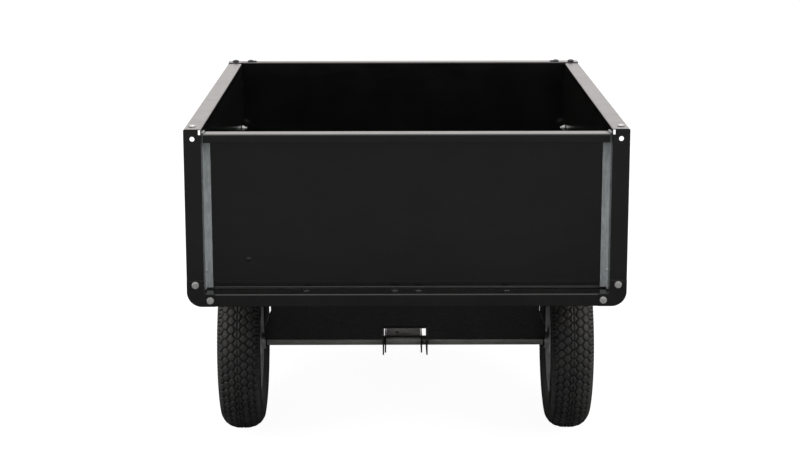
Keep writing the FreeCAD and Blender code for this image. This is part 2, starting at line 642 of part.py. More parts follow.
def latch_lever():
    """Flat latch: a nose that points at the stand's slot, and a handle up and forward to a round grip."""
    half = LATCH_LEVER_THICKNESS / 2
    y = LATCH_PIVOT_Y
    z = LATCH_PIVOT_Z
    hub_radius = LATCH_LEVER_HUB_RADIUS
    hub_disc = rod(hub_radius, -half, half, y, z)
    tip_y = STAND_FRONT + LATCH_NOSE_GAP
    nose = polygon([V(-half, y, z + hub_radius), V(-half, tip_y, z + hub_radius / 2),
                    V(-half, tip_y, z - hub_radius / 2), V(-half, y, z - hub_radius)])
    top_y = y + LATCH_HANDLE_RUN
    top_z = z + LATCH_HANDLE_LIFT
    along = V(0, LATCH_HANDLE_RUN, LATCH_HANDLE_LIFT).normalize()
    across = V(0, -along.z, along.y) * LATCH_HANDLE_HALF
    start = V(-half, y, z)
    end = V(-half, top_y, top_z)
    handle = polygon([start + across, start - across, end - across, end + across])
    thick = V(2 * half, 0, 0)
    grip = rod(LATCH_HANDLE_HALF, -half, half, top_y, top_z)
    whole = fused(hub_disc, nose.extrude(thick), handle.extrude(thick), grip)
    return whole.cut(rod(LATCH_PIN_RADIUS + RUNNING_CLEARANCE, -half - 1, half + 1, y, z))


def tub_nodes():
    """Everything that tips, drawn level."""
    nodes = {}
    spacer_end = HUB_INNER_X - SEAT_GAP
    washer_start = HUB_OUTER_X + SEAT_GAP
    gusset_top = TUB_BOTTOM + GUSSET_HEIGHT
    gusset_inner = OUTER_EDGE - GUSSET_WIDTH
    right_hand = {
        "side_panel": side_panel(),
        "floor_panel": floor_half(),
        "rear_gusset": gusset(REAR - GUSSET_THICKNESS),
        "front_gusset": gusset(FRONT + SHEET),
        "gusset_bolt_upper": bolt_head((HALF_WIDTH + OUTER_EDGE) / 2, gusset_top - UPPER_BOLT_BELOW_TOP),
        "gusset_bolt_lower": bolt_head(gusset_inner + LOWER_BOLT_INSET, (TUB_BOTTOM + FLOOR_TOP) / 2),
        "tailgate_guide": guide(),
        "axle_spacer": ring(AXLE_HOLE_RADIUS, SPACER_RADIUS, CARRIER_HALF_BOTTOM, spacer_end),
        "axle_washer": ring(AXLE_HOLE_RADIUS, WASHER_RADIUS, washer_start, washer_start + WASHER),
        "cotter_pin": cotter(),
    }
    for name, shape in right_hand.items():
        nodes[name + "_right"] = shape
        nodes[name + "_left"] = mirrored(shape)
    nodes["front_panel"] = front_panel()
    nodes["tailgate"] = tailgate()
    nodes["axle_carrier"] = axle_carrier()
    nodes["pivot_bracket"] = pivot_bracket()
    nodes["axle"] = axle()
    nodes["latch_stand"] = latch_stand()
    return nodes


def wheel_nodes():
    """Both wheels."""
    nodes = {}
    for name, shape in {"tyre": tyre(), "rim": rim(), "hub": hub(), "valve": valve()}.items():
        nodes[name + "_right"] = shape
        nodes[name + "_left"] = mirrored(shape)
    return nodes


def drawbar_nodes():
    """Everything that stays with the drawbar."""
    level = {
        "drawbar": drawbar(),
        "tow_clevis": tow_clevis(),
        "latch_bracket": latch_bracket(),
        "latch_pin": latch_pin(),
        "latch_lever": latch_lever(),
    }
    return {name: on_drawbar(shape) for name, shape in level.items()}


def main():
    """Build every piece, turn the trailer to its parked angle, stand it on the floor and export it."""
    nodes = {**tub_nodes(), **wheel_nodes(), **drawbar_nodes()}
    for shape in nodes.values():
        shape.rotate(V(0, 0, 0), X_AXIS, -parked_angle())
    bounds = Part.makeCompound(list(nodes.values())).optimalBoundingBox(False)
    middle = (bounds.YMin + bounds.YMax) / 2
    os.makedirs("parts", exist_ok=True)
    for name, shape in nodes.items():
        shape.translate(V(0, -middle, WHEEL_RADIUS))
        shape.exportStep("parts/" + name + ".step")
        print(name, len(shape.Solids), "solid, valid", shape.isValid(), round(shape.Volume / 1000, 1), "cm3")
    print("parked angle", round(parked_angle(), 4), "axle y", round(-middle, 3), "axle z", WHEEL_RADIUS)


main()
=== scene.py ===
"""Looks for a tipping garden trailer: treaded tyres, bolts, welds, grip, and a finish for every surface."""
import json
import math

import bpy
import numpy as np
from mathutils import Matrix


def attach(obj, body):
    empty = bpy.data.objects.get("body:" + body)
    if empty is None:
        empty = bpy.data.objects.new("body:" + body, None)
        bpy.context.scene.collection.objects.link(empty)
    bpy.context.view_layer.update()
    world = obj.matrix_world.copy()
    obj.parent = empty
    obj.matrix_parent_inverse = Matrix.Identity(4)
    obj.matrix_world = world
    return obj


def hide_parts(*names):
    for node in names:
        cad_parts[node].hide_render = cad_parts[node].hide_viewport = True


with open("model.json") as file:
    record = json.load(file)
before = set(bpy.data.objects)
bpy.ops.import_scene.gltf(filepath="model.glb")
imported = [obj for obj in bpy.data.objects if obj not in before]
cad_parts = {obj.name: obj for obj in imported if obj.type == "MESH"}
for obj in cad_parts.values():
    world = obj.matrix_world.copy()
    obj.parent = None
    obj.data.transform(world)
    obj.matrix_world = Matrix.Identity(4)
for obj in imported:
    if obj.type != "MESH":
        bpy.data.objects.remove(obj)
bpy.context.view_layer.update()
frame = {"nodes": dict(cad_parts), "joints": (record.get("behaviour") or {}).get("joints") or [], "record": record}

MM = 0.001


# ---------------------------------------------------------------- places, all read from the frame

def joint(name):
    return next(j for j in frame["joints"] if j["name"] == name)


def mount(name):
    return next(m for m in frame["record"]["mounts"] if m["name"] == name)


def nose_down(direction):
    """Angle in radians by which an upright direction has been leant towards +Y."""
    return math.atan2(direction[1], direction[2])


AXLE = np.array(joint("tub_tip")["pos_m"])
TUB_TILT = nose_down(joint("tailgate_slide")["axis"])
BAR_TILT = nose_down(mount("tow_pin")["axis"])
BAR_X = mount("tow_pin")["pos_m"][0]


def to_row(points, tilt=TUB_TILT):
    """Turn points drawn about a level axle nose down by tilt, then move the axle to its place."""
    p = np.asarray(points, float)
    c, s = math.cos(tilt), math.sin(tilt)
    return np.stack([p[..., 0], p[..., 1] * c + p[..., 2] * s, p[..., 2] * c - p[..., 1] * s], -1) + AXLE


def level_box(node, tilt=TUB_TILT):
    """Lowest and highest corner of a CAD node, measured about a level axle."""
    mesh = frame["nodes"][node].data
    p = np.zeros(len(mesh.vertices) * 3)
    mesh.vertices.foreach_get("co", p)
    p = p.reshape(-1, 3) - AXLE
    c, s = math.cos(tilt), math.sin(tilt)
    q = np.stack([p[:, 0], p[:, 1] * c - p[:, 2] * s, p[:, 1] * s + p[:, 2] * c], -1)
    return q.min(0), q.max(0)


side_low, side_high = level_box("side_panel_right")
_, gate_high = level_box("tailgate")
_, guide_high = level_box("tailgate_guide_right")
floor_low, floor_high = level_box("floor_panel_right")
front_low, front_high = level_box("front_panel")
carrier_low, carrier_high = level_box("axle_carrier")
_, bracket_high = level_box("pivot_bracket")
stand_low, stand_high = level_box("latch_stand")
tyre_low, tyre_high = level_box("tyre_right")
hub_low, _ = level_box("hub_right")
rim_low, rim_high = level_box("rim_right")
bar_low, bar_high = level_box("drawbar", BAR_TILT)
clevis_low, clevis_high = level_box("tow_clevis", BAR_TILT)
_, lever_high = level_box("latch_lever", BAR_TILT)
base_low, base_high = level_box("latch_bracket", BAR_TILT)

WALL_IN = side_low[0]
OUTER = side_high[0]
REAR = side_low[1]
FRONT = floor_high[1]
RIM_Z = side_high[2]
DECK = floor_high[2]
SKIRT_LOW = floor_low[2]
SHEET = 1.5 * MM
FLANGE_MID = (WALL_IN + OUTER) / 2


# ---------------------------------------------------------------- meshes

def grid_faces(rows, columns, close_rows=False, close_columns=False):
    """Quads of a grid of points, as an index array; a closed direction joins its last line to its first."""
    r = np.arange(rows if close_rows else rows - 1)
    c = np.arange(columns if close_columns else columns - 1)
    r, c = np.meshgrid(r, c, indexing="ij")
    r2, c2 = (r + 1) % rows, (c + 1) % columns
    quads = [r * columns + c, r2 * columns + c, r2 * columns + c2, r * columns + c2]
    return np.stack(quads, -1).reshape(-1, 4)


def make_piece(name, points, faces, body, slot, material, smooth=True):
    """One object at the origin from points in the row frame and an array of quads."""
    mesh = bpy.data.meshes.new(name)
    points = np.asarray(points, np.float32).reshape(-1, 3)
    faces = np.asarray(faces, np.int32)
    mesh.vertices.add(len(points))
    mesh.vertices.foreach_set("co", points.ravel())
    mesh.loops.add(faces.size)
    mesh.loops.foreach_set("vertex_index", faces.ravel())
    mesh.polygons.add(len(faces))
    mesh.polygons.foreach_set("loop_start", np.arange(0, faces.size, 4, dtype=np.int32))
    mesh.polygons.foreach_set("use_smooth", np.full(len(faces), smooth))
    mesh.update(calc_edges=True)
    mesh.validate()
    piece = bpy.data.objects.new(name, mesh)
    bpy.context.scene.collection.objects.link(piece)
    mesh.materials.append(material)
    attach(piece, body)
    return piece


def turned(profile, sides, across=None):
    """Surface of revolution about +Z: (radius, height) rows swept round.

    across scales the radius by angle, in the rows it flags.
    """
    profile = np.asarray(profile, float)
    angle = np.arange(sides) * 2 * math.pi / sides
    scale = np.ones((len(profile), sides))
    if across is not None:
        scale = np.where(across[0][:, None], across[1](angle)[None, :], 1.0)
    radius = profile[:, :1] * scale
    height = np.repeat(profile[:, 1:], sides, 1)
    points = np.stack([radius * np.cos(angle), radius * np.sin(angle), height], -1)
    return points.reshape(-1, 3), grid_faces(len(profile), sides, close_columns=True)


def hexagon(angle):
    """Distance to a unit hexagon's edge, as a share of the distance to its flats."""
    sixth = math.pi / 3
    return 1 / np.cos(np.mod(angle, sixth) - sixth / 2)


def basis(direction):
    """Three unit vectors as columns, the last along direction."""
    w = np.asarray(direction, float)
    w = w / np.linalg.norm(w)
    u = np.cross(w, [0.0, 0.0, 1.0] if abs(w[2]) < 0.9 else [1.0, 0.0, 0.0])
    u = u / np.linalg.norm(u)
    return np.stack([u, np.cross(w, u), w], 1)


def placed(shape, places):
    """Copies of one shape at each (point, direction, spin), joined as one array of points and faces."""
    points, faces = shape
    matrices = np.stack([basis(d) for _, d, _ in places])
    spins = np.array([s for _, _, s in places])
    c, s = np.cos(spins), np.sin(spins)
    zero, one = np.zeros_like(c), np.ones_like(c)
    turn_rows = [(c, -s, zero), (s, c, zero), (zero, zero, one)]
    turn = np.stack([np.stack(row, -1) for row in turn_rows], 1)
    centres = np.stack([np.asarray(p, float) for p, _, _ in places])
    copies = np.einsum("kij,kjl,nl->kni", matrices, turn, points) + centres[:, None, :]
    shift = np.arange(len(places))[:, None, None] * len(points)
    return copies.reshape(-1, 3), (faces[None] + shift).reshape(-1, 4)


def joined(*shapes):
    """Several arrays of points and faces as one."""
    points, faces, start = [], [], 0
    for p, f in shapes:
        points.append(np.asarray(p).reshape(-1, 3))
        faces.append(f + start)
        start += len(points[-1])
    return np.concatenate(points), np.concatenate(faces)


def hex_head(flats, height, washer_radius, washer):
    """Hexagon bolt head on a flange: a round washer face, then flats with a chamfered top that closes."""
    r = flats / 2
    bevel = 0.12 * flats
    rows = [
        (washer_radius, 0, False), (washer_radius, washer * 0.7, False),
        (washer_radius - 0.3 * MM, washer, False),
        (r * 1.02, washer, True), (r, washer + 0.2 * MM, True), (r, washer + height - 0.35 * bevel, True),
        (r * 0.97, washer + height - 0.12 * bevel, False), (r * 0.9, washer + height, False),
        (r * 0.45, washer + height - 0.1 * MM, False), (0.01 * MM, washer + height - 0.1 * MM, False),
    ]
    flags = np.array([k for _, _, k in rows])
    return turned([(a, b) for a, b, _ in rows], 36, (flags, hexagon))


def dome_head(radius, height):
    """Cup head: half an ellipse turned round, on a short upright edge."""
    t = np.linspace(0, math.pi / 2, 9)
    rows = [(radius, 0), (radius, 0.12 * height)]
    rows += list(zip(np.maximum(radius * np.cos(t), 0.01 * MM), 0.12 * height + 0.88 * height * np.sin(t)))
    return turned(rows, 28)


def nut_with_end(flats, height, bolt_radius, proud):
    """Hexagon nut on a washer with the bolt's threaded end standing proud of it."""
    r = flats / 2
    washer_top = 1.2 * MM
    rows = [(r * 1.35, 0, False), (r * 1.35, washer_top, False), (r, washer_top, True),
            (r, height - 0.6 * MM, True), (r * 0.9, height, False), (bolt_radius * 1.05, height, False)]
    count = 9
    thread_z = np.linspace(height, height + proud, count)
    thread_r = bolt_radius * (1 - 0.05 * (np.arange(count) % 2))
    rows += [(a, b, False) for a, b in zip(thread_r, thread_z)]
    tip = height + proud + 0.5 * MM
    rows += [(bolt_radius * 0.8, tip, False), (0.01 * MM, tip, False)]
    flags = np.array([k for _, _, k in rows])
    return turned([(a, b) for a, b, _ in rows], 36, (flags, hexagon))


def rivet_head(radius, height):
    """Blind rivet: a flat dome with a small sunk stem hole."""
    rows = [(radius, 0), (radius, 0.25 * height), (radius * 0.86, 0.7 * height), (radius * 0.6, height),
            (radius * 0.36, height), (radius * 0.3, 0.55 * height), (0.01 * MM, 0.5 * height)]
    return turned(rows, 24)


def bead_along(path, radius, ripple=0.18, pitch=3.2 * MM, closed=False):
    """Weld bead: a round section carried along a path, its radius rippled by a cosine of the length run."""
    path = np.asarray(path, float)
    if closed:
        path = np.concatenate([path, path[:1]])
    step = np.linalg.norm(np.diff(path, axis=0), axis=1)
    run = np.concatenate([[0], np.cumsum(step)])
    count = max(8, int(run[-1] / (pitch / 4)))
    at = np.linspace(0, run[-1], count, endpoint=not closed)
    line = np.stack([np.interp(at, run, path[:, k]) for k in range(3)], -1)
    if closed:
        tangent = np.roll(line, -1, 0) - np.roll(line, 1, 0)
    else:
        tangent = np.gradient(line, axis=0)
    tangent /= np.linalg.norm(tangent, axis=1, keepdims=True)
    side = np.cross(tangent, [0.31, 0.23, 0.92])
    side /= np.linalg.norm(side, axis=1, keepdims=True)
    up = np.cross(tangent, side)
    angle = np.arange(10) * 2 * math.pi / 10
    size = radius * (1 + ripple * np.cos(2 * math.pi * at / pitch))
    if not closed:
        ends = np.clip(np.minimum(np.arange(count), np.arange(count)[::-1]) / 2.0, 0.02, 1)
        size = size * ends
    ring = np.cos(angle)[None, :, None] * side[:, None, :] + np.sin(angle)[None, :, None] * up[:, None, :]
    points = line[:, None, :] + size[:, None, None] * ring
    return points.reshape(-1, 3), grid_faces(count, 10, close_rows=closed, close_columns=True)[:, ::-1]


# ---------------------------------------------------------------- materials

class Nodes:
    """Small helper that adds nodes to a tree and links them."""

    def __init__(self, tree):
        self.tree = tree

    def add(self, kind, values=None, **settings):
        node = self.tree.nodes.new(kind)
        for key, value in settings.items():
            setattr(node, key, value)
        for key, value in (values or {}).items():
            if isinstance(value, bpy.types.NodeSocket):
                self.tree.links.new(value, node.inputs[key])
            else:
                node.inputs[key].default_value = value
        return node

    def math(self, operation, a, b=0.0, clamp=False):
        return self.add("ShaderNodeMath", {0: a, 1: b}, operation=operation, use_clamp=clamp).outputs[0]

    def ramp(self, value, low, high, out_low=0.0, out_high=1.0):
        values = {"Value": value, "From Min": low, "From Max": high, "To Min": out_low, "To Max": out_high}
        return self.add("ShaderNodeMapRange", values, interpolation_type="SMOOTHSTEP").outputs["Result"]

    def mix(self, factor, a, b):
        values = {"Factor": factor, "A": a, "B": b}
        node = self.add("ShaderNodeMix", data_type="RGBA")
        for key, value in (("Factor", factor), ("A", a), ("B", b)):
            index = {"Factor": 0, "A": 6, "B": 7}[key]
            if isinstance(value, bpy.types.NodeSocket):
                self.tree.links.new(value, node.inputs[index])
            else:
                node.inputs[index].default_value = value
        return node.outputs[2]

    def noise(self, vector, scale, detail=4.0, roughness=0.55):
        values = {"Vector": vector, "Scale": scale, "Detail": detail, "Roughness": roughness}
        return self.add("ShaderNodeTexNoise", values).outputs["Fac"]

    def stretched(self, vector, scale):
        return self.add("ShaderNodeMapping", {"Vector": vector, "Scale": scale}).outputs[0]


def new_group(name, inputs, outputs):
    """Node group with named inputs (name, kind, value) and outputs (name, kind)."""
    tree = bpy.data.node_groups.new(name, "ShaderNodeTree")
    for label, kind, value in inputs:
        socket = tree.interface.new_socket(label, in_out="INPUT", socket_type=kind)
        if value is not None:
            socket.default_value = value
    for label, kind in outputs:
        tree.interface.new_socket(label, in_out="OUTPUT", socket_type=kind)
    n = Nodes(tree)
    return tree, n, n.add("NodeGroupInput"), n.add("NodeGroupOutput")


def grain_group():
    """Fine and coarse mottling: a height for bump and a value that drifts over a hand's breadth."""
    tree, n, given, out = new_group(
        "surface_grain",
        [("Vector", "NodeSocketVector", None), ("Fine", "NodeSocketFloat", 900.0),
         ("Broad", "NodeSocketFloat", 9.0)],
        [("Height", "NodeSocketFloat"), ("Drift", "NodeSocketFloat")])
    fine = n.noise(given.outputs["Vector"], given.outputs["Fine"], 2.0, 0.5)
    broad = n.noise(given.outputs["Vector"], given.outputs["Broad"], 5.0, 0.6)
    tree.links.new(fine, out.inputs["Height"])
    tree.links.new(broad, out.inputs["Drift"])
    return tree


def edge_group():
    """Rounded folds and rubbed edges: a bevelled normal, and a mask where it leaves the flat one; the mask
    lightens the colour there, partly as wear and partly as a painted highlight along the folds.
    """
    tree, n, given, out = new_group(
        "folded_edge_wear_and_highlight",
        [("Vector", "NodeSocketVector", None), ("Radius", "NodeSocketFloat", 0.0012),
         ("Amount", "NodeSocketFloat", 0.5)],
        [("Mask", "NodeSocketFloat"), ("Normal", "NodeSocketVector")])
    bevel = n.add("ShaderNodeBevel", {"Radius": given.outputs["Radius"]}, samples=6)
    flat = n.add("ShaderNodeNewGeometry").outputs["True Normal"]
    dot = n.add("ShaderNodeVectorMath", {0: bevel.outputs[0], 1: flat},
                operation="DOT_PRODUCT").outputs["Value"]
    bent = n.ramp(dot, 0.995, 0.8)
    patchy = n.ramp(n.noise(given.outputs["Vector"], 60.0, 5.0, 0.65), 0.42, 0.66)
    mask = n.math("MULTIPLY", n.math("MULTIPLY", bent, patchy), given.outputs["Amount"], clamp=True)
    tree.links.new(mask, out.inputs["Mask"])
    tree.links.new(bevel.outputs[0], out.inputs["Normal"])
    return tree


def dust_group():
    """Settled dust: most on faces that look up, broken into soft patches."""
    tree, n, given, out = new_group(
        "settled_dust",
        [("Vector", "NodeSocketVector", None), ("Amount", "NodeSocketFloat", 0.3)],
        [("Mask", "NodeSocketFloat")])
    normal = n.add("ShaderNodeNewGeometry").outputs["Normal"]
    up = n.add("ShaderNodeSeparateXYZ", {0: normal}).outputs["Z"]
    facing = n.ramp(up, -0.2, 1.0, 0.25, 1.0)
    patches = n.ramp(n.noise(given.outputs["Vector"], 14.0, 6.0, 0.7), 0.38, 0.72)
    mask = n.math("MULTIPLY", n.math("MULTIPLY", facing, patches), given.outputs["Amount"], clamp=True)
    tree.links.new(mask, out.inputs["Mask"])
    return tree


GRAIN = grain_group()
EDGES = edge_group()
DUST = dust_group()


def group_node(n, tree, **values):
    node = n.add("ShaderNodeGroup", node_tree=tree)
    for key, value in values.items():
        if isinstance(value, bpy.types.NodeSocket):
            n.tree.links.new(value, node.inputs[key])
        else:
            node.inputs[key].default_value = value
    return node


def new_material(name):
    material = bpy.data.materials.new(name)
    material.use_nodes = True
    material.node_tree.nodes.clear()
    n = Nodes(material.node_tree)
    shader = n.add("ShaderNodeBsdfPrincipled")
    out = n.add("ShaderNodeOutputMaterial")
    n.tree.links.new(shader.outputs[0], out.inputs[0])
    where = n.add("ShaderNodeTexCoord").outputs["Object"]
    return material, n, shader, where


def coated_steel(name, colour, rubbed_and_highlit_edge, roughness, gloss, fine, bump, edge_wear_and_highlight, dust):
    """Powder-coated steel: stippled coat, folds lighter as rubbed wear and as a painted highlight, faint dust;
    gloss is the specular level.
    """
    material, n, shader, where = new_material(name)
    grain = group_node(n, GRAIN, Vector=where, Fine=fine, Broad=7.0)
    edge = group_node(n, EDGES, Vector=where, Radius=0.0011, Amount=edge_wear_and_highlight)
    dirt = group_node(n, DUST, Vector=where, Amount=dust)
    darker = tuple(0.75 * c for c in colour[:3]) + (1.0,)
    base = n.mix(n.ramp(grain.outputs["Drift"], 0.35, 0.65), darker, colour)
    # Folds and edges get the lighter edge colour: partly rubbed wear, partly a painted highlight standing in for
    # light on the bends.
    base = n.mix(edge.outputs["Mask"], base, rubbed_and_highlit_edge)
    base = n.mix(dirt.outputs["Mask"], base, (0.11, 0.10, 0.09, 1.0))
    smear = n.noise(n.stretched(where, (3.0, 3.0, 22.0)), 5.0, 5.0, 0.7)
    rough = n.ramp(smear, 0.3, 0.75, roughness - 0.02, roughness + 0.04)
    rough = n.math("ADD", rough, n.math("MULTIPLY", dirt.outputs["Mask"], 0.5), clamp=True)
    bumped = n.add("ShaderNodeBump", {"Strength": bump, "Distance": 0.0002, "Height": grain.outputs["Height"],
                                      "Normal": edge.outputs["Normal"]}).outputs[0]
    n.tree.links.new(base, shader.inputs["Base Color"])
    n.tree.links.new(rough, shader.inputs["Roughness"])
    n.tree.links.new(bumped, shader.inputs["Normal"])
    shader.inputs["Specular IOR Level"].default_value = gloss
    return material


def zinc_steel(name, bright, dull, metal, roughness, streak, spangle):
    """Zinc-coated steel: streaks along the sheet's pull, a faint crystal pattern and dulled patches."""
    material, n, shader, where = new_material(name)
    edge = group_node(n, EDGES, Vector=where, Radius=0.0006, Amount=0.3)
    dirt = group_node(n, DUST, Vector=where, Amount=0.25)
    lines = n.noise(n.stretched(where, streak), 6.0, 6.0, 0.7)
    cells = n.add("ShaderNodeTexVoronoi", {"Vector": where, "Scale": spangle}).outputs["Color"]
    cell_value = n.add("ShaderNodeSeparateColor", {0: cells}).outputs[0]
    streaks = n.math("MULTIPLY", n.ramp(lines, 0.3, 0.7), 0.75)
    tone = n.math("ADD", streaks, n.math("MULTIPLY", cell_value, 0.25))
    base = n.mix(tone, dull, bright)
    base = n.mix(dirt.outputs["Mask"], base, (0.13, 0.125, 0.12, 1.0))
    rough = n.ramp(tone, 0.1, 0.9, roughness + 0.1, roughness - 0.06)
    bumped = n.add("ShaderNodeBump", {"Strength": 0.25, "Distance": 0.0002, "Height": lines,
                                      "Normal": edge.outputs["Normal"]}).outputs[0]
    n.tree.links.new(base, shader.inputs["Base Color"])
    n.tree.links.new(rough, shader.inputs["Roughness"])
    n.tree.links.new(bumped, shader.inputs["Normal"])
    shader.inputs["Metallic"].default_value = metal
    return material


def tyre_rubber():
    """Moulded rubber: matt blocks and darker grooves read from the tread's own height, the darker grooves a
    painted shade; dust in soft patches over all.
    """
    material, n, shader, where = new_material("tyre_rubber")
    height = n.add("ShaderNodeAttribute", attribute_name="tread_height").outputs["Fac"]
    grain = group_node(n, GRAIN, Vector=where, Fine=1400.0, Broad=22.0)
    dirt = group_node(n, DUST, Vector=where, Amount=0.35)
    drift = n.ramp(grain.outputs["Drift"], 0.3, 0.7)
    block_top_tone = n.mix(drift, (0.014, 0.014, 0.014, 1.0), (0.027, 0.0265, 0.026, 1.0))
    # Grooves and sidewalls darker than the block tops: a painted shade in the recesses.
    groove_painted_shade = n.mix(drift, (0.003, 0.003, 0.003, 1.0), (0.007, 0.0065, 0.006, 1.0))
    base = n.mix(height, groove_painted_shade, block_top_tone)
    base = n.mix(dirt.outputs["Mask"], base, (0.075, 0.068, 0.060, 1.0))
    rough = n.ramp(grain.outputs["Drift"], 0.3, 0.7, 0.50, 0.68)
    bumped = n.add("ShaderNodeBump", {"Strength": 0.35, "Distance": 0.0003,
                                      "Height": grain.outputs["Height"]}).outputs[0]
    n.tree.links.new(base, shader.inputs["Base Color"])
    n.tree.links.new(rough, shader.inputs["Roughness"])
    n.tree.links.new(bumped, shader.inputs["Normal"])
    shader.inputs["Specular IOR Level"].default_value = 0.35
    return material


def soft_plastic(name, colour):
    """Dipped vinyl or plain rubber: a fine leathery skin that shines in places."""
    material, n, shader, where = new_material(name)
    grain = group_node(n, GRAIN, Vector=where, Fine=500.0, Broad=30.0)
    dirt = group_node(n, DUST, Vector=where, Amount=0.3)
    lighter = tuple(1.6 * c for c in colour[:3]) + (1.0,)
    base = n.mix(n.ramp(grain.outputs["Drift"], 0.3, 0.7), colour, lighter)
    base = n.mix(dirt.outputs["Mask"], base, (0.09, 0.085, 0.08, 1.0))
    rough = n.ramp(grain.outputs["Drift"], 0.3, 0.7, 0.42, 0.6)
    bumped = n.add("ShaderNodeBump", {"Strength": 0.4, "Distance": 0.0003,
                                      "Height": grain.outputs["Height"]}).outputs[0]
    n.tree.links.new(base, shader.inputs["Base Color"])
    n.tree.links.new(rough, shader.inputs["Roughness"])
    n.tree.links.new(bumped, shader.inputs["Normal"])
    return material


# The second colour of each coated finish is its edge colour: partly wear, partly a painted highlight on the folds.
BLACK_SHEET = coated_steel("black_sheet", (0.0048, 0.0047, 0.0046, 1.0), (0.030, 0.030, 0.030, 1.0),
                           0.17, 0.50, 700.0, 0.12, 0.6, 0.03)
BLACK_PLATE = coated_steel("black_plate", (0.0055, 0.0055, 0.0055, 1.0), (0.045, 0.045, 0.045, 1.0),
                           0.26, 0.50, 520.0, 0.10, 0.6, 0.05)
BLACK_BAR = coated_steel("drawbar_black", (0.0060, 0.0058, 0.0056, 1.0), (0.045, 0.045, 0.045, 1.0),
                         0.12, 0.60, 520.0, 0.05, 0.6, 0.03)
RIM_PAINT = coated_steel("rim_silver", (0.50, 0.50, 0.51, 1.0), (0.62, 0.62, 0.62, 1.0),
                         0.38, 0.5, 600.0, 0.25, 0.5, 0.35)
ZINC_SHEET = zinc_steel("zinc_sheet", (0.60, 0.64, 0.65, 1.0), (0.36, 0.39, 0.40, 1.0),
                        0.30, 0.36, (40.0, 40.0, 2.0), 160.0)
ZINC_BOLT = zinc_steel("zinc_hardware", (0.62, 0.62, 0.61, 1.0), (0.36, 0.36, 0.36, 1.0),
                       0.60, 0.34, (6.0, 6.0, 6.0), 300.0)
RUBBER = tyre_rubber()
VINYL = soft_plastic("black_vinyl", (0.012, 0.012, 0.012, 1.0))
BARE_STEEL = zinc_steel("bare_axle_steel", (0.36, 0.36, 0.35, 1.0), (0.21, 0.21, 0.20, 1.0),
                        0.35, 0.42, (3.0, 40.0, 40.0), 90.0)


# ---------------------------------------------------------------- finish of the CAD nodes

SLOT_MATERIALS = {
    "black_sheet": BLACK_SHEET, "black_plate": BLACK_PLATE,
    "zinc_sheet": ZINC_SHEET, "zinc_hardware": ZINC_BOLT,
    "rim_silver": RIM_PAINT, "tyre_rubber": RUBBER, "valve_rubber": VINYL,
}
NODE_MATERIALS = {"axle": BARE_STEEL, "drawbar": BLACK_BAR}


def finish_cad_nodes():
    for entry in frame["record"]["subparts"]:
        mesh = frame["nodes"][entry["node"]].data
        mesh.materials.clear()
        mesh.materials.append(NODE_MATERIALS.get(entry["node"], SLOT_MATERIALS[entry["material_slot"]]))


# ---------------------------------------------------------------- tyres

def smooth(value, low, high):
    """0 below low, 1 above high, and a soft S between."""
    t = np.clip((value - low) / (high - low), 0, 1)
    return t * t * (3 - 2 * t)


def tyre_section(count):
    """Tyre outline from bead to bead: a squashed ellipse over the crown joined to straight-ish side walls.

    The parameter runs -1 to 1. Half-width and radius follow cosine and sine of it, each raised to a power
    that flattens the crown and fills the shoulders; the beads end at the rim's flanges.
    """
    half = (tyre_high[0] - tyre_low[0]) / 2
    crown = tyre_high[2]
    bead_r = rim_high[2] - 1.5 * MM
    bead_x = (rim_high[0] - rim_low[0]) / 2 - 5 * MM
    wide_r = crown - 0.48 * (crown - bead_r)
    t = np.linspace(-1, 1, count)
    angle = np.abs(t) * math.pi * 0.86
    upper = angle <= math.pi / 2
    x_up = half * np.abs(np.sin(angle)) ** 0.86
    r_up = wide_r + (crown - wide_r) * np.abs(np.cos(angle)) ** 0.88
    last = math.pi * 0.86
    share = (angle - math.pi / 2) / (last - math.pi / 2)
    share = np.clip(share, 0, 1)
    x_down = half - (half - bead_x) * share ** 2.2
    r_down = wide_r - (wide_r - bead_r) * share ** 0.9
    x = np.where(upper, x_up, x_down) * np.sign(t)
    r = np.where(upper, r_up, r_down)
    return x, r


def tread_relief(across, around, pitch):
    """Height of the tread from 0 in a groove to 1 on a block.

    Blocks are cobbles on a staggered lattice: where the nearest and second nearest lattice points are almost
    equally far there is a groove, and each top falls off with the square of its distance from the middle.
    Beyond the last column stand shoulder bars, two to a pitch. A thin groove runs round the middle.
    """
    column = 13.2 * MM
    distances = []
    for shift in (0.0, 0.5):
        s = across / (2 * column) + shift
        t = around / pitch + shift
        for ds in (np.floor(s), np.ceil(s)):
            for dt in (np.floor(t), np.ceil(t)):
                distances.append(np.hypot((s - ds) * 2 * column * 1.08, (t - dt) * pitch))
    distances = np.sort(np.stack(distances), 0)
    gap = distances[1] - distances[0]
    blocks = smooth(gap, 1.3 * MM, 3.0 * MM) * (1 - 0.22 * (distances[0] / (10 * MM)) ** 2)
    blocks = blocks * (0.45 + 0.55 * smooth(np.abs(across), 0.5 * MM, 1.6 * MM))
    saw = 2 * around / pitch + np.abs(across) / (30 * MM)
    saw = np.abs(saw - np.round(saw)) * 2
    bars = 0.9 * (1 - smooth(saw, 0.50, 0.78))
    edge = 38 * MM
    divide = smooth(np.abs(across), edge, edge + 1.5 * MM)
    return blocks * (1 - divide) + bars * divide


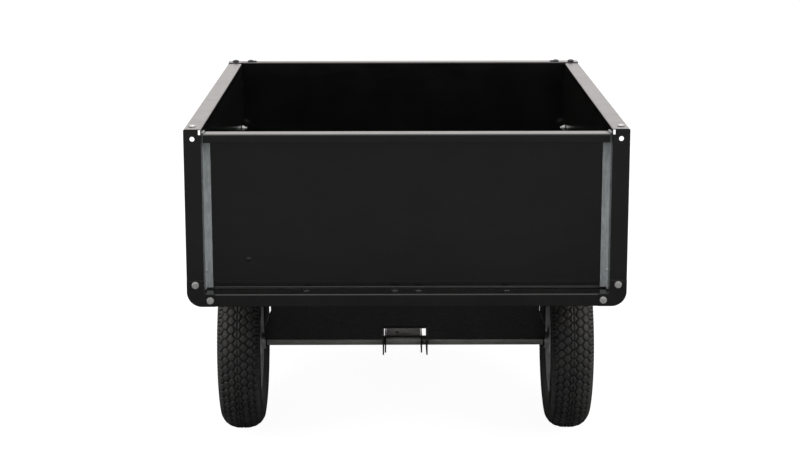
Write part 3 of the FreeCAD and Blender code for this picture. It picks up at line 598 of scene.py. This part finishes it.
def make_tyre(side):
    """Tyre on a grid of angle round the axle and length over the section, sunk by its tread's grooves."""
    around_count = 900
    x, r = tyre_section(400)
    run = np.concatenate([[0], np.cumsum(np.hypot(np.diff(x), np.diff(r)))])
    middle = run[-1] / 2
    tread_end = 50 * MM
    tread_rows = np.linspace(-tread_end - 3 * MM, tread_end + 3 * MM, 80)
    wall_rows = np.linspace(tread_end + 3 * MM, middle, 13)[1:]
    rows = np.concatenate([-wall_rows[::-1], tread_rows, wall_rows])
    over_count = len(rows)
    x, r = np.interp(rows + middle, run, x), np.interp(rows + middle, run, r)
    run = rows
    normal = np.stack([np.gradient(r, run), -np.gradient(x, run)], -1)
    normal /= np.linalg.norm(normal, axis=1, keepdims=True)
    angle = np.arange(around_count) * 2 * math.pi / around_count
    crown = tyre_high[2]
    pitch = 2 * math.pi * crown / 62
    across, around = np.meshgrid(run, angle * crown, indexing="ij")
    relief = tread_relief(across, around + (0 if side > 0 else 0.31 * pitch), pitch)
    on_tread = 1 - smooth(np.abs(across), tread_end - 2 * MM, tread_end + 1 * MM)
    depth = 3.8 * MM * on_tread * (1 - relief)
    wall = smooth(np.abs(across), tread_end + 2 * MM, tread_end + 5 * MM)
    ring_run = np.abs(across) - tread_end
    rings = np.exp(-((ring_run - 9 * MM) / (1.1 * MM)) ** 2)
    rings = rings + np.exp(-((ring_run - 44 * MM) / (1.6 * MM)) ** 2)
    ribs = 0.5 + 0.5 * np.cos(angle[None, :] * 124)
    rib_band = np.exp(-((ring_run - 14 * MM) / (3.5 * MM)) ** 2)
    depth = depth + wall * (0.9 * MM - 0.8 * MM * np.clip(rings, 0, 1) - 0.5 * MM * rib_band * ribs)
    local_x = (x[:, None] + normal[:, :1] * depth) * side
    local_r = r[:, None] + normal[:, 1:] * depth
    centre = side * (tyre_low[0] + tyre_high[0]) / 2
    points = np.stack([centre + local_x, local_r * np.cos(angle), local_r * np.sin(angle)], -1)
    faces = grid_faces(over_count, around_count, close_columns=True)
    inner_x, inner_r = x[[-1, 0]] * 0.9 * side + centre, np.full(2, r[0] - 6 * MM)
    inner = np.stack([np.repeat(inner_x[:, None], around_count, 1), inner_r[:, None] * np.cos(angle),
                      inner_r[:, None] * np.sin(angle)], -1)
    points = np.concatenate([points, inner])
    faces = grid_faces(over_count + 2, around_count, close_rows=True, close_columns=True)
    if side > 0:
        faces = faces[:, ::-1]
    name = "right" if side > 0 else "left"
    tyre = make_piece("tyre_tread_" + name, to_row(points), faces, "wheel_" + name, "tyre_rubber", RUBBER)
    # This value picks the rubber's colour: low values in the grooves and on the walls give the painted groove
    # shade.
    value = np.where(on_tread > 0.5, relief, 0.8)
    value = np.concatenate([value, np.full((2, around_count), 0.5)])
    attribute = tyre.data.attributes.new("tread_height", "FLOAT", "POINT")
    attribute.data.foreach_set("value", value.astype(np.float32).ravel())
    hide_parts("tyre_" + name)
    return tyre


# ---------------------------------------------------------------- fasteners

UP = np.array([0.0, 0.0, 1.0])
BACK = np.array([0.0, -1.0, 0.0])
AHEAD = np.array([0.0, 1.0, 0.0])


def tilted(direction, tilt=TUB_TILT):
    return to_row(direction, tilt) - AXLE


def at(point, direction, spin=0.0, tilt=TUB_TILT, x=0.0):
    """Place on the row frame of a point and direction drawn level."""
    return to_row(np.asarray(point, float) + [x, 0, 0], tilt), tilted(direction, tilt), spin


def both_sides(x, y, z, direction, spin=0.0):
    """The same place on the right and, mirrored, on the left."""
    d = np.asarray(direction, float)
    return [at((x, y, z), d, spin), at((-x, y, z), d * [-1, 1, 1], -spin)]


GUIDE_RIVET_ROWS = (RIM_Z - 49 * MM, DECK + 38 * MM)
CORNER_BOLT_ROWS = (RIM_Z - 145.5 * MM, DECK + 55 * MM)
SKIRT_SHARES = (0.12, 0.37, 0.63, 0.88)
SEAM_SHARES = (0.1, 0.35, 0.75)


def tub_fasteners():
    """Heads, nuts and rivets of the tub, each row set out from the sheet edges it holds."""
    skirt_mid = (SKIRT_LOW + DECK) / 2
    front_face = level_box("front_gusset_right")[1][1]
    gusset_z = DECK + 17.5 * MM
    gusset_x = OUTER - 43 * MM
    corner = both_sides(FLANGE_MID, front_face, gusset_z, AHEAD, 0.3)
    corner += both_sides(gusset_x, front_face, skirt_mid, AHEAD, 0.9)
    make_piece("corner_bolts", *placed(hex_head(10 * MM, 4.6 * MM, 6.6 * MM, 1.1 * MM), corner),
               "tub", "zinc_hardware", ZINC_BOLT)

    wall_out = WALL_IN + SHEET
    outside = []
    for z in GUIDE_RIVET_ROWS:
        outside += both_sides(wall_out, REAR + 33 * MM, z, (1, 0, 0))
    for z in CORNER_BOLT_ROWS:
        outside += both_sides(wall_out, FRONT - 45 * MM, z, (1, 0, 0))
    for share in SKIRT_SHARES:
        outside += both_sides(wall_out, REAR + share * (FRONT - REAR), skirt_mid, (1, 0, 0))
    for x in (90 * MM, 250 * MM):
        outside += both_sides(x, front_low[1] + 50 * MM + SHEET, skirt_mid, AHEAD)
    rear_top = both_sides(FLANGE_MID + 3 * MM, REAR + 35 * MM, RIM_Z, UP)
    front_top = both_sides(WALL_IN - 19 * MM, FRONT + 16 * MM, front_high[2], UP)
    front_top += both_sides(OUTER - 16 * MM, FRONT + 16 * MM, front_high[2], UP)
    front_small = both_sides(WALL_IN - 29 * MM, FRONT + 18 * MM, front_high[2], UP)
    lip = both_sides(186 * MM, REAR + 25 * MM, DECK, UP) + both_sides(22 * MM, REAR + 25 * MM, DECK, UP)
    for x in (90 * MM, 235 * MM):
        lip += both_sides(x, 0, DECK, UP)
    stand_x = (stand_low[0] + stand_high[0]) / 2
    stand_y = (stand_low[1] + stand_high[1]) / 2
    for side in (-1, 1):
        lip.append(at((stand_x + side * 65 * MM, stand_y, DECK), UP))
    black = joined(placed(dome_head(7 * MM, 3.6 * MM), outside),
                   placed(dome_head(7.5 * MM, 4.6 * MM), front_top),
                   placed(dome_head(3.6 * MM, 2.6 * MM), front_small),
                   placed(dome_head(8 * MM, 4 * MM), lip))
    make_piece("black_cup_heads", *black, "tub", "black_plate", BLACK_PLATE)
    make_piece("zinc_cup_heads", *placed(dome_head(7.2 * MM, 3.4 * MM), rear_top),
               "tub", "zinc_hardware", ZINC_BOLT)

    inside = []
    for z in CORNER_BOLT_ROWS:
        inside += both_sides(WALL_IN - SHEET, FRONT - 45 * MM, z, (-1, 0, 0), 0.4)
    inside_skirt = []
    for share in SKIRT_SHARES:
        y = REAR + share * (FRONT - REAR)
        inside_skirt += both_sides(WALL_IN - SHEET, y, skirt_mid, (-1, 0, 0), 0.2)
    for share in SEAM_SHARES:
        y = REAR + share * (FRONT - REAR)
        inside_skirt.append(at((SHEET, y, skirt_mid), (1, 0, 0), 0.1))
    nuts = joined(placed(nut_with_end(10 * MM, 5.5 * MM, 3 * MM, 4 * MM), inside + inside_skirt))
    seam = placed(hex_head(10 * MM, 4.2 * MM, 6.4 * MM, 1.1 * MM),
                  [at((-SHEET, REAR + share * (FRONT - REAR), skirt_mid), (-1, 0, 0), 0.1)
                   for share in SEAM_SHARES])
    make_piece("zinc_nuts", *joined(nuts, seam), "tub", "zinc_hardware", ZINC_BOLT)

    rivets = []
    for z in GUIDE_RIVET_ROWS:
        rivets += both_sides(guide_high[0] - SHEET, REAR + 33 * MM, z, (-1, 0, 0))
    make_piece("guide_rivets", *placed(rivet_head(4.6 * MM, 2.2 * MM), rivets),
               "tub", "zinc_hardware", ZINC_BOLT)


def welds():
    """Weld beads on the pivot bracket, round the clevis's back plate and round the hubs."""
    x = bracket_high[0]
    z = bracket_high[2]
    beads = []
    for y in (carrier_low[1], carrier_high[1]):
        beads.append(bead_along(to_row([(-x, y, 2 * MM), (-x, y, z), (x, y, z), (x, y, 2 * MM)]), 1.6 * MM))
    make_piece("bracket_welds", *joined(*beads), "tub", "black_plate", BLACK_PLATE)
    y = bar_high[1]
    half = (clevis_high[0] - clevis_low[0]) / 2
    low, high = bar_low[2] + 1 * MM, bar_high[2]
    loop = np.array([(-half, y, low), (-half, y, high), (half, y, high), (half, y, low)]) + [BAR_X, 0, 0]
    make_piece("clevis_welds", *bead_along(to_row(loop, BAR_TILT), 2.0 * MM),
               "drawbar_unit", "black_plate", BLACK_PLATE)
    ring_angle = np.linspace(0, 2 * math.pi, 60, endpoint=False)
    disc_x = (rim_low[0] + rim_high[0]) / 2 + 9 * MM
    for side, name in ((1, "right"), (-1, "left")):
        loops = []
        for px, radius in ((disc_x, 19.6 * MM), (hub_low[0] + 3 * MM, 19.6 * MM)):
            ring = [np.full(60, side * px), radius * np.cos(ring_angle), radius * np.sin(ring_angle)]
            circle = np.stack(ring, -1)
            loops.append(bead_along(to_row(circle), 1.7 * MM, closed=True))
        make_piece("hub_welds_" + name, *joined(*loops), "wheel_" + name, "rim_silver", RIM_PAINT)


def drawbar_trim():
    """The two bolts that hold the latch bracket down on the drawbar."""
    mid_y = (base_low[1] + base_high[1]) / 2
    reach = (base_high[1] - base_low[1]) / 2 - 6 * MM
    top = bar_high[2] + 3 * MM
    places = [at((BAR_X, mid_y + s * reach, top), UP, 0.2, BAR_TILT) for s in (-1, 1)]
    make_piece("latch_bolts", *placed(hex_head(8 * MM, 3.8 * MM, 5.2 * MM, 1 * MM), places),
               "drawbar_unit", "zinc_hardware", ZINC_BOLT)


def lever_grip():
    """Grip on the lever: a superellipse section of power four, swelling with a row of ribs."""
    tip = np.array([0.0, lever_high[1] - 8 * MM, lever_high[2] - 8 * MM])
    lever_reach, lever_rise = 118.0, 105.0
    run = np.array([0.0, lever_reach, lever_rise])
    run /= np.linalg.norm(run)
    length, overlap = 72 * MM, 7 * MM
    half_wide, half_high, rib_pitch = 7.6 * MM, 10.5 * MM, 4.5 * MM
    count, sides = 90, 32
    s = np.linspace(0, 1, count)
    angle = np.arange(sides) * 2 * math.pi / sides
    c, sn = np.cos(angle), np.sin(angle)
    wide = np.sign(c) * np.abs(c) ** 0.5
    high = np.sign(sn) * np.abs(sn) ** 0.5
    ends = np.clip(np.minimum(s, 1 - s) * length / (4 * MM), 0, 1)
    swell = np.sqrt(1 - (1 - ends) ** 2)
    ribs = 1 + 0.05 * np.cos(s * length / rib_pitch * 2 * math.pi) * smooth(np.minimum(s, 1 - s), 0.1, 0.15)
    size_x = half_wide * swell * ribs
    size_z = half_high * swell * ribs
    across = np.array([0.0, -run[2], run[1]])
    start = tip - run * (length - overlap)
    line = start + run * (s[:, None] * (length + 1 * MM))
    points = (line[:, None, :] + np.array([1.0, 0, 0]) * (size_x[:, None] * wide)[..., None]
              + across * (size_z[:, None] * high)[..., None])
    points = points + [BAR_X, 0, 0]
    faces = grid_faces(count, sides, close_columns=True)[:, ::-1]
    make_piece("lever_grip", to_row(points, BAR_TILT), faces, "drawbar_unit", "valve_rubber", VINYL)


def valve_caps():
    """Fluted cap on each valve stem: a turned profile whose radius has shallow flutes."""
    rows = [(4.2, 0), (4.4, 1.0), (4.4, 7.0), (3.8, 8.4), (1.5, 8.8), (0.01, 8.8)]
    flags = np.array([False, True, True, False, False, False])
    shape = turned(np.array(rows) * MM, 36, (flags, lambda a: 1 + 0.05 * np.cos(a * 9)))
    for side, name in ((1, "right"), (-1, "left")):
        low, high = level_box("valve_" + name)
        end = high[0] if side > 0 else low[0]
        centre = (low + high) / 2
        place = at((end - side * 8 * MM, centre[1], centre[2]), (side, 0, 0))
        make_piece("valve_cap_" + name, *placed(shape, [place]), "wheel_" + name, "valve_rubber", VINYL)


def tailgate_mark():
    """Small round plug low on the left of the tailgate: a shallow dome."""
    panel_y = gate_high[1] - 5 * MM
    place = at((-295 * MM, panel_y, DECK + 55 * MM), BACK)
    make_piece("tailgate_plug", *placed(dome_head(4.2 * MM, 1.4 * MM), [place]),
               "tailgate_door", "black_plate", BLACK_PLATE)


# ---------------------------------------------------------------- stage, light and camera

WHITE = (1.0, 1.0, 1.0, 1.0)
WARM_WHITE = (1.0, 0.945, 0.925, 1.0)


def begin_stage_material(name):
    """Empty material with its node maker, and the two ray values: reflected, and seen or seen through."""
    material = bpy.data.materials.new(name)
    material.use_nodes = True
    material.node_tree.nodes.clear()
    n = Nodes(material.node_tree)
    path = n.add("ShaderNodeLightPath")
    seen = n.math("MAXIMUM", path.outputs["Is Camera Ray"], path.outputs["Is Transmission Ray"])
    return material, n, path.outputs["Is Glossy Ray"], seen


def end_stage_material(n, tone, colour, level):
    """A matt tone and a glow, added together."""
    diffuse = n.add("ShaderNodeBsdfDiffuse", {"Color": tone})
    glow = n.add("ShaderNodeEmission", {"Color": colour, "Strength": level})
    both = n.add("ShaderNodeAddShader")
    n.tree.links.new(diffuse.outputs[0], both.inputs[0])
    n.tree.links.new(glow.outputs[0], both.inputs[1])
    out = n.add("ShaderNodeOutputMaterial")
    n.tree.links.new(both.outputs[0], out.inputs[0])


def floor_material():
    """Pale floor: white to the camera; in reflections bright ahead of the trailer and dim behind it."""
    material, n, glossy, seen = begin_stage_material("stage_floor")
    where = n.add("ShaderNodeTexCoord").outputs["Object"]
    ahead = n.ramp(n.add("ShaderNodeSeparateXYZ", {0: where}).outputs["Y"], 0.2, 2.0)
    tone = n.mix(seen, (0.60, 0.60, 0.60, 1.0), (0.22, 0.22, 0.22, 1.0))
    tone = n.mix(glossy, tone, (0.07, 0.07, 0.07, 1.0))
    reflected = n.math("MULTIPLY", n.math("MULTIPLY", glossy, ahead), 0.95)
    level = n.math("ADD", n.math("MULTIPLY", seen, 0.94), reflected)
    end_stage_material(n, tone, n.mix(glossy, WHITE, WARM_WHITE), level)
    return material


def backdrop_material(name, colour, strength, tone):
    """Backdrop: white to the camera, its own colour and strength in reflections, a plain tone as a light."""
    material, n, glossy, seen = begin_stage_material(name)
    level = n.math("ADD", seen, n.math("MULTIPLY", glossy, strength))
    end_stage_material(n, tone, n.mix(seen, colour, WHITE), level)
    return material


def flat_stage(name, corners, material):
    mesh = bpy.data.meshes.new(name)
    mesh.from_pydata(corners, [], [[0, 1, 2, 3]])
    stage = bpy.data.objects.new(name, mesh)
    bpy.context.scene.collection.objects.link(stage)
    mesh.materials.append(material)


def upright(y, half_width, height):
    """Corners of a wall across the trailer at y, wound the other way on the other side."""
    x = math.copysign(half_width, y)
    return [(-x, y, 0), (x, y, 0), (x, y, height), (-x, y, height)]


def make_stage():
    """Floor, a backdrop reflecting bright ahead and a wall reflecting dark behind, all seen as white."""
    size = 40.0
    flat_stage("floor", [(-size, -size, 0), (size, -size, 0), (size, size, 0), (-size, size, 0)],
               floor_material())
    wide, high, away = 14.0, 5.0, 9.0
    bright = backdrop_material("backdrop_bright", WARM_WHITE, 0.98, (0.6, 0.6, 0.6, 1.0))
    dark = backdrop_material("backdrop_dark", WHITE, 0.26, (0.12, 0.12, 0.12, 1.0))
    flat_stage("backdrop_ahead", upright(away, wide, high), bright)
    flat_stage("wall_behind", upright(-away, wide, high), dark)


def make_world():
    """White where the camera looks, an even soft grey as a light, and brighter than white in reflections."""
    world = bpy.data.worlds.new("studio")
    bpy.context.scene.world = world
    world.use_nodes = True
    world.node_tree.nodes.clear()
    n = Nodes(world.node_tree)
    path = n.add("ShaderNodeLightPath")
    seen = n.math("MAXIMUM", path.outputs["Is Camera Ray"], path.outputs["Is Transmission Ray"])
    strength = n.ramp(seen, 0.0, 1.0, 0.62, 1.0)
    strength = n.math("ADD", strength, n.math("MULTIPLY", path.outputs["Is Glossy Ray"], 0.85))
    tint = n.mix(path.outputs["Is Glossy Ray"], (1, 1, 1, 1), (1.0, 0.962, 0.950, 1))
    background = n.add("ShaderNodeBackground", {"Color": tint, "Strength": strength})
    out = n.add("ShaderNodeOutputWorld")
    n.tree.links.new(background.outputs[0], out.inputs[0])


def softbox(name, location, target, size, power):
    """Square area lamp aimed at a point."""
    lamp = bpy.data.lights.new(name, "AREA")
    lamp.shape = "SQUARE"
    lamp.size = size
    lamp.energy = power
    holder = bpy.data.objects.new(name, lamp)
    bpy.context.scene.collection.objects.link(holder)
    turn = basis(np.asarray(location, float) - np.asarray(target, float))
    matrix = Matrix(turn.tolist()).to_4x4()
    matrix.translation = location
    holder.matrix_world = matrix


def make_lights():
    softbox("overhead_softbox", (0.0, 0.6, 3.4), (0, 0, 0.3), 3.2, 62.0)
    softbox("left_softbox", (-3.2, -2.2, 2.0), (0, 0, 0.3), 2.0, 34.0)
    softbox("right_softbox", (3.2, -2.0, 2.0), (0, 0, 0.3), 2.0, 38.0)


def make_camera():
    """Camera behind and above the trailer, square to its tailgate but for a slight turn."""
    back, up, side = 3.840, 1.063, -0.0274
    pitch = math.radians(11.97) + TUB_TILT
    yaw = math.radians(0.27)
    data = bpy.data.cameras.new("camera")
    data.sensor_width = 36.0
    data.lens = 84.6
    data.clip_end = 200.0
    camera = bpy.data.objects.new("camera", data)
    bpy.context.scene.collection.objects.link(camera)
    camera.location = to_row((side, -back, up))
    camera.rotation_euler = (math.pi / 2 - pitch, 0.0, -yaw)
    bpy.context.scene.camera = camera


finish_cad_nodes()
for wheel_side in (1, -1):
    make_tyre(wheel_side)
tub_fasteners()
welds()
drawbar_trim()
lever_grip()
valve_caps()
tailgate_mark()
make_stage()
make_world()
make_lights()
make_camera()
bpy.context.scene.view_settings.view_transform = "Standard"
